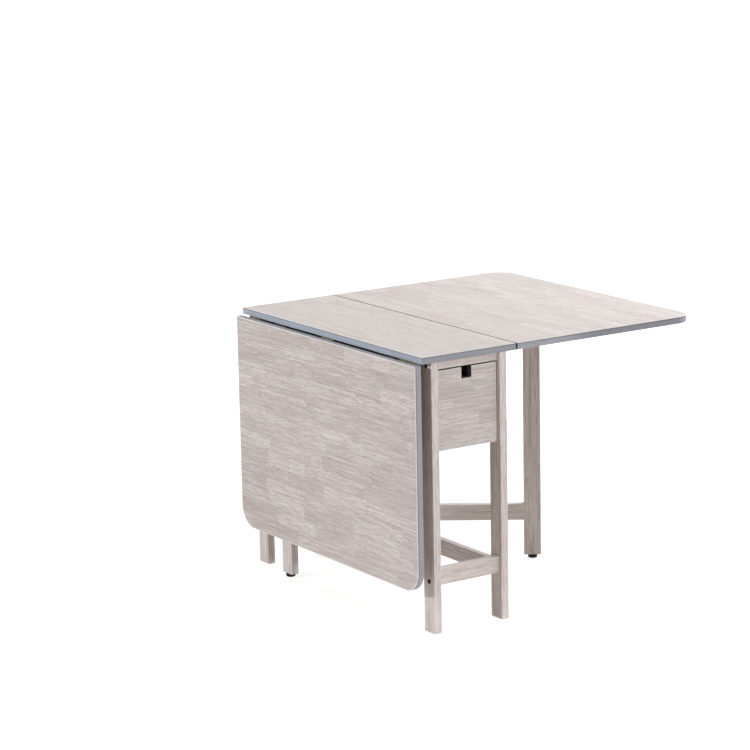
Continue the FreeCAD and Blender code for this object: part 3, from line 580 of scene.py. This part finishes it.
def make_screw_tree():
    """Puts a cross-recess screw head on every point, along that point's facing."""
    tree = bpy.data.node_groups.new("hinge_screw_heads", "GeometryNodeTree")
    face = tree.interface
    face.new_socket("Geometry", in_out="INPUT", socket_type="NodeSocketGeometry")
    for name in ("Head Radius", "Head Height", "Recess Width", "Recess Depth"):
        face.new_socket(name, in_out="INPUT", socket_type="NodeSocketFloat")
    face.new_socket("Finish", in_out="INPUT", socket_type="NodeSocketMaterial")
    face.new_socket("Geometry", in_out="OUTPUT", socket_type="NodeSocketGeometry")
    graph = Graph(tree)
    given = graph.add("NodeGroupInput").outputs
    crown = graph.calc("MULTIPLY", given["Head Radius"], CROWN_SHARE)
    head = graph.add("GeometryNodeMeshCone", {"Vertices": HEAD_SIDES, "Radius Top": crown,
                                              "Radius Bottom": given["Head Radius"],
                                              "Depth": given["Head Height"]}).outputs["Mesh"]
    length = graph.calc("MULTIPLY", given["Head Radius"], RECESS_LENGTH_SHARE)
    depth = graph.calc("MULTIPLY", given["Recess Depth"], 2.0)
    slots = graph.add("GeometryNodeMeshBoolean", operation="UNION", solver="EXACT")
    for sizes in ((length, given["Recess Width"]), (given["Recess Width"], length)):
        size = graph.add("ShaderNodeCombineXYZ", {"X": sizes[0], "Y": sizes[1], "Z": depth}).outputs[0]
        arm = graph.add("GeometryNodeMeshCube", {"Size": size}).outputs["Mesh"]
        tree.links.new(arm, slots.inputs["Mesh 2"])
    lift = graph.add("ShaderNodeCombineXYZ", {"Z": given["Head Height"]}).outputs[0]
    recess = graph.add("GeometryNodeTransform", {"Geometry": slots.outputs["Mesh"], "Translation": lift})
    cut = graph.add("GeometryNodeMeshBoolean", operation="DIFFERENCE", solver="EXACT")
    graph.feed(cut.inputs["Mesh 1"], head)
    graph.feed(cut.inputs["Mesh 2"], recess.outputs["Geometry"])
    facing = graph.add("GeometryNodeInputNamedAttribute", {"Name": "facing"}, data_type="FLOAT_VECTOR")
    upright = graph.add("FunctionNodeAlignRotationToVector", {"Vector": facing.outputs["Attribute"]}, axis="Z")
    angle = graph.add("FunctionNodeRandomValue", {"Seed": SPIN_SEED}, data_type="FLOAT")
    sockets = {socket.identifier: socket for socket in angle.inputs}
    sockets["Max_001"].default_value = math.pi
    turned = next(socket for socket in angle.outputs if socket.identifier == "Value_001")
    spin = graph.add("FunctionNodeAxisAngleToRotation", {"Axis": (0, 0, 1), "Angle": turned})
    turn = graph.add("FunctionNodeRotateRotation", {"Rotation": upright.outputs[0], "Rotate By": spin.outputs[0]},
                     rotation_space="LOCAL")
    placed = graph.add("GeometryNodeInstanceOnPoints", {"Points": given["Geometry"],
                                                        "Instance": cut.outputs["Mesh"],
                                                        "Rotation": turn.outputs[0]})
    real = graph.add("GeometryNodeRealizeInstances", {"Geometry": placed.outputs["Instances"]})
    finished = graph.add("GeometryNodeSetMaterial", {"Geometry": real.outputs["Geometry"],
                                                     "Material": given["Finish"]})
    graph.feed(graph.add("NodeGroupOutput").inputs["Geometry"], finished.outputs["Geometry"])
    return tree


SCREW_TREE = make_screw_tree()
LEAF_SCREW = {"Head Radius": 0.0031, "Head Height": 0.0006, "Recess Width": 0.0008, "Recess Depth": 0.0004}
GATE_SCREW = {"Head Radius": 0.0036, "Head Height": 0.0008, "Recess Width": 0.0009, "Recess Depth": 0.0005}


def drive_screws(name, body, places, sizes):
    """Makes one mesh of the screw heads at (place, facing) pairs, riding on a body."""
    points = bpy.data.meshes.new(name + "_places")
    points.from_pydata([place for place, _ in places], [], [])
    facing = points.attributes.new("facing", "FLOAT_VECTOR", "POINT")
    for entry, (_, direction) in zip(facing.data, places):
        entry.vector = direction
    maker = bpy.data.objects.new(name + "_maker", points)
    bpy.context.scene.collection.objects.link(maker)
    modifier = maker.modifiers.new("screw_heads", "NODES")
    modifier.node_group = SCREW_TREE
    sockets = {item.name: item.identifier for item in SCREW_TREE.interface.items_tree if item.in_out == "INPUT"}
    for size, length in sizes.items():
        modifier[sockets[size]] = length
    modifier[sockets["Finish"]] = PIN_STEEL
    bpy.context.view_layer.update()
    evaluated = maker.evaluated_get(bpy.context.evaluated_depsgraph_get())
    heads = bpy.data.objects.new(name, bpy.data.meshes.new_from_object(evaluated))
    bpy.context.scene.collection.objects.link(heads)
    bpy.data.objects.remove(maker)
    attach(heads, body)


def plate_places(axis, along, seat, pin, face, pattern, hinges):
    """Where screws sit on one half of each hinge; along, seat and pin are the directions of that half."""
    return [(axis + along * reach + seat * face + pin * (hinge + shift), -seat)
            for hinge in hinges for reach, shift in pattern]


# Lengths of the hinges, their plates' outer faces from the pin's middle, and screws from it and along it
LEAF_HINGE = 0.056
LEAF_PLATE_FACE = 0.0012
LEAF_PATTERN = ((0.022, -0.020), (0.014, 0.0), (0.022, 0.020))
GATE_HINGE = 0.038
GATE_PLATE_FACE = 0.003
GATE_PATTERN = ((0.026, -0.012), (0.015, 0.0), (0.026, 0.012))
frame_leaf_places = []
frame_gate_places = []
for side, sign in SIDES.items():
    low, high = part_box(side + "_hinge_pins")
    axis = Vector(((low.x + high.x) / 2, 0, (low.z + high.z) / 2))
    hinges = (low.y + LEAF_HINGE / 2, (low.y + high.y) / 2, high.y - LEAF_HINGE / 2)
    frame_leaf_places += plate_places(axis, -sign * X_AXIS, Z_AXIS, Y_AXIS, LEAF_PLATE_FACE, LEAF_PATTERN, hinges)
    along, seat = (X_AXIS, Z_AXIS) if side == "right" else (-Z_AXIS, -X_AXIS)
    moving = plate_places(axis, along, seat, Y_AXIS, LEAF_PLATE_FACE, LEAF_PATTERN, hinges)
    drive_screws(side + "_leaf_hinge_screws", side + "_leaf", moving, LEAF_SCREW)

    low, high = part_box(side + "_gate_pins")
    axis = Vector(((low.x + high.x) / 2, (low.y + high.y) / 2, 0))
    hinges = (low.z + GATE_HINGE / 2, high.z - GATE_HINGE / 2)
    frame_gate_places += plate_places(axis, -sign * Y_AXIS, -sign * X_AXIS, Z_AXIS, GATE_PLATE_FACE,
                                      GATE_PATTERN, hinges)
    along = gate_reach(side)
    seat = Z_AXIS.cross(along)
    moving = plate_places(axis, along, seat, Z_AXIS, GATE_PLATE_FACE, GATE_PATTERN, hinges)
    drive_screws(side + "_gate_hinge_screws", side + "_gate", moving, GATE_SCREW)
drive_screws("centre_hinge_screws", "frame", frame_leaf_places, LEAF_SCREW)
drive_screws("gate_post_screws", "frame", frame_gate_places, GATE_SCREW)


# Studio: pale floor, even surroundings and soft lamps
AROUND = 0.34
AROUND_TINT = (1.0, 0.93, 0.87, 1.0)
FLOOR_TONE = tone(160, 156, 152)
FLOOR_REACH = 60.0
FLOOR_DROP = -0.0004
# White that the camera sees on the floor, near the object and from a distance on
NEAR_GLOW = 0.80
FAR_GLOW = 1.0
GLOW_DISTANCES = (1.0, 2.6)
# Light that the floor throws back, and brighter patches on it: middle, inner and outer radius, level
FLOOR_LIGHT = 0.22
BOUNCES = (((-1.10, -0.40, 0.0), 0.25, 0.75, 0.80), ((0.42, -0.80, 0.0), 0.20, 0.70, 0.80))
LAMP_TINT = (0.965, 1.0, 1.05)
GRID_SPREAD = 4.0


def seen_directly(graph):
    """One for what the camera sees, straight or by gloss or through glass, and zero for light on the object."""
    path = graph.add("ShaderNodeLightPath").outputs
    mirrored = graph.calc("MAXIMUM", path["Is Glossy Ray"], path["Is Transmission Ray"])
    return graph.calc("MAXIMUM", path["Is Camera Ray"], mirrored)


def make_floor():
    corners = [(x * FLOOR_REACH, y * FLOOR_REACH, FLOOR_DROP) for x, y in ((-1, -1), (1, -1), (1, 1), (-1, 1))]
    mesh = bpy.data.meshes.new("studio_floor")
    mesh.from_pydata(corners, [], [(0, 1, 2, 3)])
    floor = bpy.data.objects.new("studio_floor", mesh)
    bpy.context.scene.collection.objects.link(floor)
    material, graph, shader, place = new_material("pale_floor")
    shader.inputs["Base Color"].default_value = FLOOR_TONE
    shader.inputs["Roughness"].default_value = 0.9
    shader.inputs["Specular IOR Level"].default_value = 0.1
    shader.inputs["Emission Color"].default_value = WHITE
    far = graph.vector("LENGTH", place)["Value"]
    bounce = FLOOR_LIGHT
    for middle, inner, outer, level in BOUNCES:
        away = graph.vector("DISTANCE", place, middle)["Value"]
        bounce = graph.calc("ADD", bounce, graph.fade(away, inner, outer, level, 0.0))
    glow = graph.calc("SUBTRACT", graph.fade(far, *GLOW_DISTANCES, NEAR_GLOW, FAR_GLOW), bounce)
    graph.feed(shader.inputs["Emission Strength"], graph.calc("MULTIPLY_ADD", seen_directly(graph), glow, bounce))
    mesh.materials.append(material)


def make_surroundings():
    world = bpy.data.worlds.new("studio")
    world.use_nodes = True
    graph = Graph(world.node_tree)
    direct = seen_directly(graph)
    ground = world.node_tree.nodes["Background"]
    graph.feed(ground.inputs["Color"], graph.blend(direct, AROUND_TINT, WHITE))
    graph.feed(ground.inputs["Strength"], graph.calc("MULTIPLY_ADD", direct, 1.0 - AROUND, AROUND))
    bpy.context.scene.world = world


def power(level, distance):
    """The power of a broad lamp, where level is the share of its own colour that a surface facing it shows."""
    return level * math.pi ** 2 * distance ** 2


def lamp(name, direction, distance, size, watts, aim=(0, 0, 0.4), spread=180.0, mirrored=True):
    """A flat lamp; a spread below 180 degrees stands for a grid on it, which keeps its light to a beam.

    A lamp that isn't mirrored gives light but no gleam, like one behind a polarising sheet.
    """
    light = bpy.data.lights.new(name, "AREA")
    light.shape = "RECTANGLE"
    light.size, light.size_y = size
    light.spread = math.radians(spread)
    light.energy = watts
    light.color = LAMP_TINT
    aim = Vector(aim)
    way = Vector(direction).normalized()
    holder = bpy.data.objects.new(name, light)
    holder.location = aim + way * distance
    holder.rotation_mode = "QUATERNION"
    holder.rotation_quaternion = (-way).to_track_quat("-Z", "Y")
    holder.visible_glossy = mirrored
    bpy.context.scene.collection.objects.link(holder)


make_floor()
make_surroundings()
lamp("left_window", (-1.0, 0.30, 0.37), 6.0, (0.55, 0.55), power(0.45, 6.0))
lamp("overhead_softbox", (1.0, -0.12, 1.0), 3.3, (2.0, 2.0), power(0.56, 3.3))
lamp("front_softbox", (0.15, -1.0, 1.45), 4.0, (2.0, 1.2), power(0.19, 4.0))
lamp("back_rim_softbox", (0.74, 0.68, 0.42), 4.0, (1.2, 1.2), power(0.56, 4.0), mirrored=False)
lamp("foot_grid_softbox", (0.10, -1.0, 0.34), 3.0, (0.46, 0.22), 0.115, (-0.215, -0.43, -0.02), GRID_SPREAD)
lamp("end_grid_softbox", (0.07, -1.0, 0.14), 3.0, (0.56, 1.04), 0.58, (-0.215, -0.43, 0.30), GRID_SPREAD)


# Camera at the photograph's angle
CAMERA_PLACE = (-4.30236, -6.05400, 2.18054)
CAMERA_YAW = math.radians(33.5158)
CAMERA_PITCH = math.radians(12.2741)
CAMERA_ROLL = math.radians(-1.1364)
SENSOR_WIDTH = 36.0
FOCAL_LENGTH = 131.752


def make_camera():
    lens = bpy.data.cameras.new("photo_camera")
    lens.sensor_width = SENSOR_WIDTH
    lens.lens = FOCAL_LENGTH
    lens.clip_end = 200.0
    camera = bpy.data.objects.new("photo_camera", lens)
    turn = (Matrix.Rotation(-CAMERA_YAW, 4, "Z") @ Matrix.Rotation(math.pi / 2 - CAMERA_PITCH, 4, "X")
            @ Matrix.Rotation(CAMERA_ROLL, 4, "Z"))
    camera.matrix_world = Matrix.Translation(CAMERA_PLACE) @ turn
    bpy.context.scene.collection.objects.link(camera)
    bpy.context.scene.camera = camera


make_camera()
bpy.context.scene.view_settings.view_transform = "Standard"
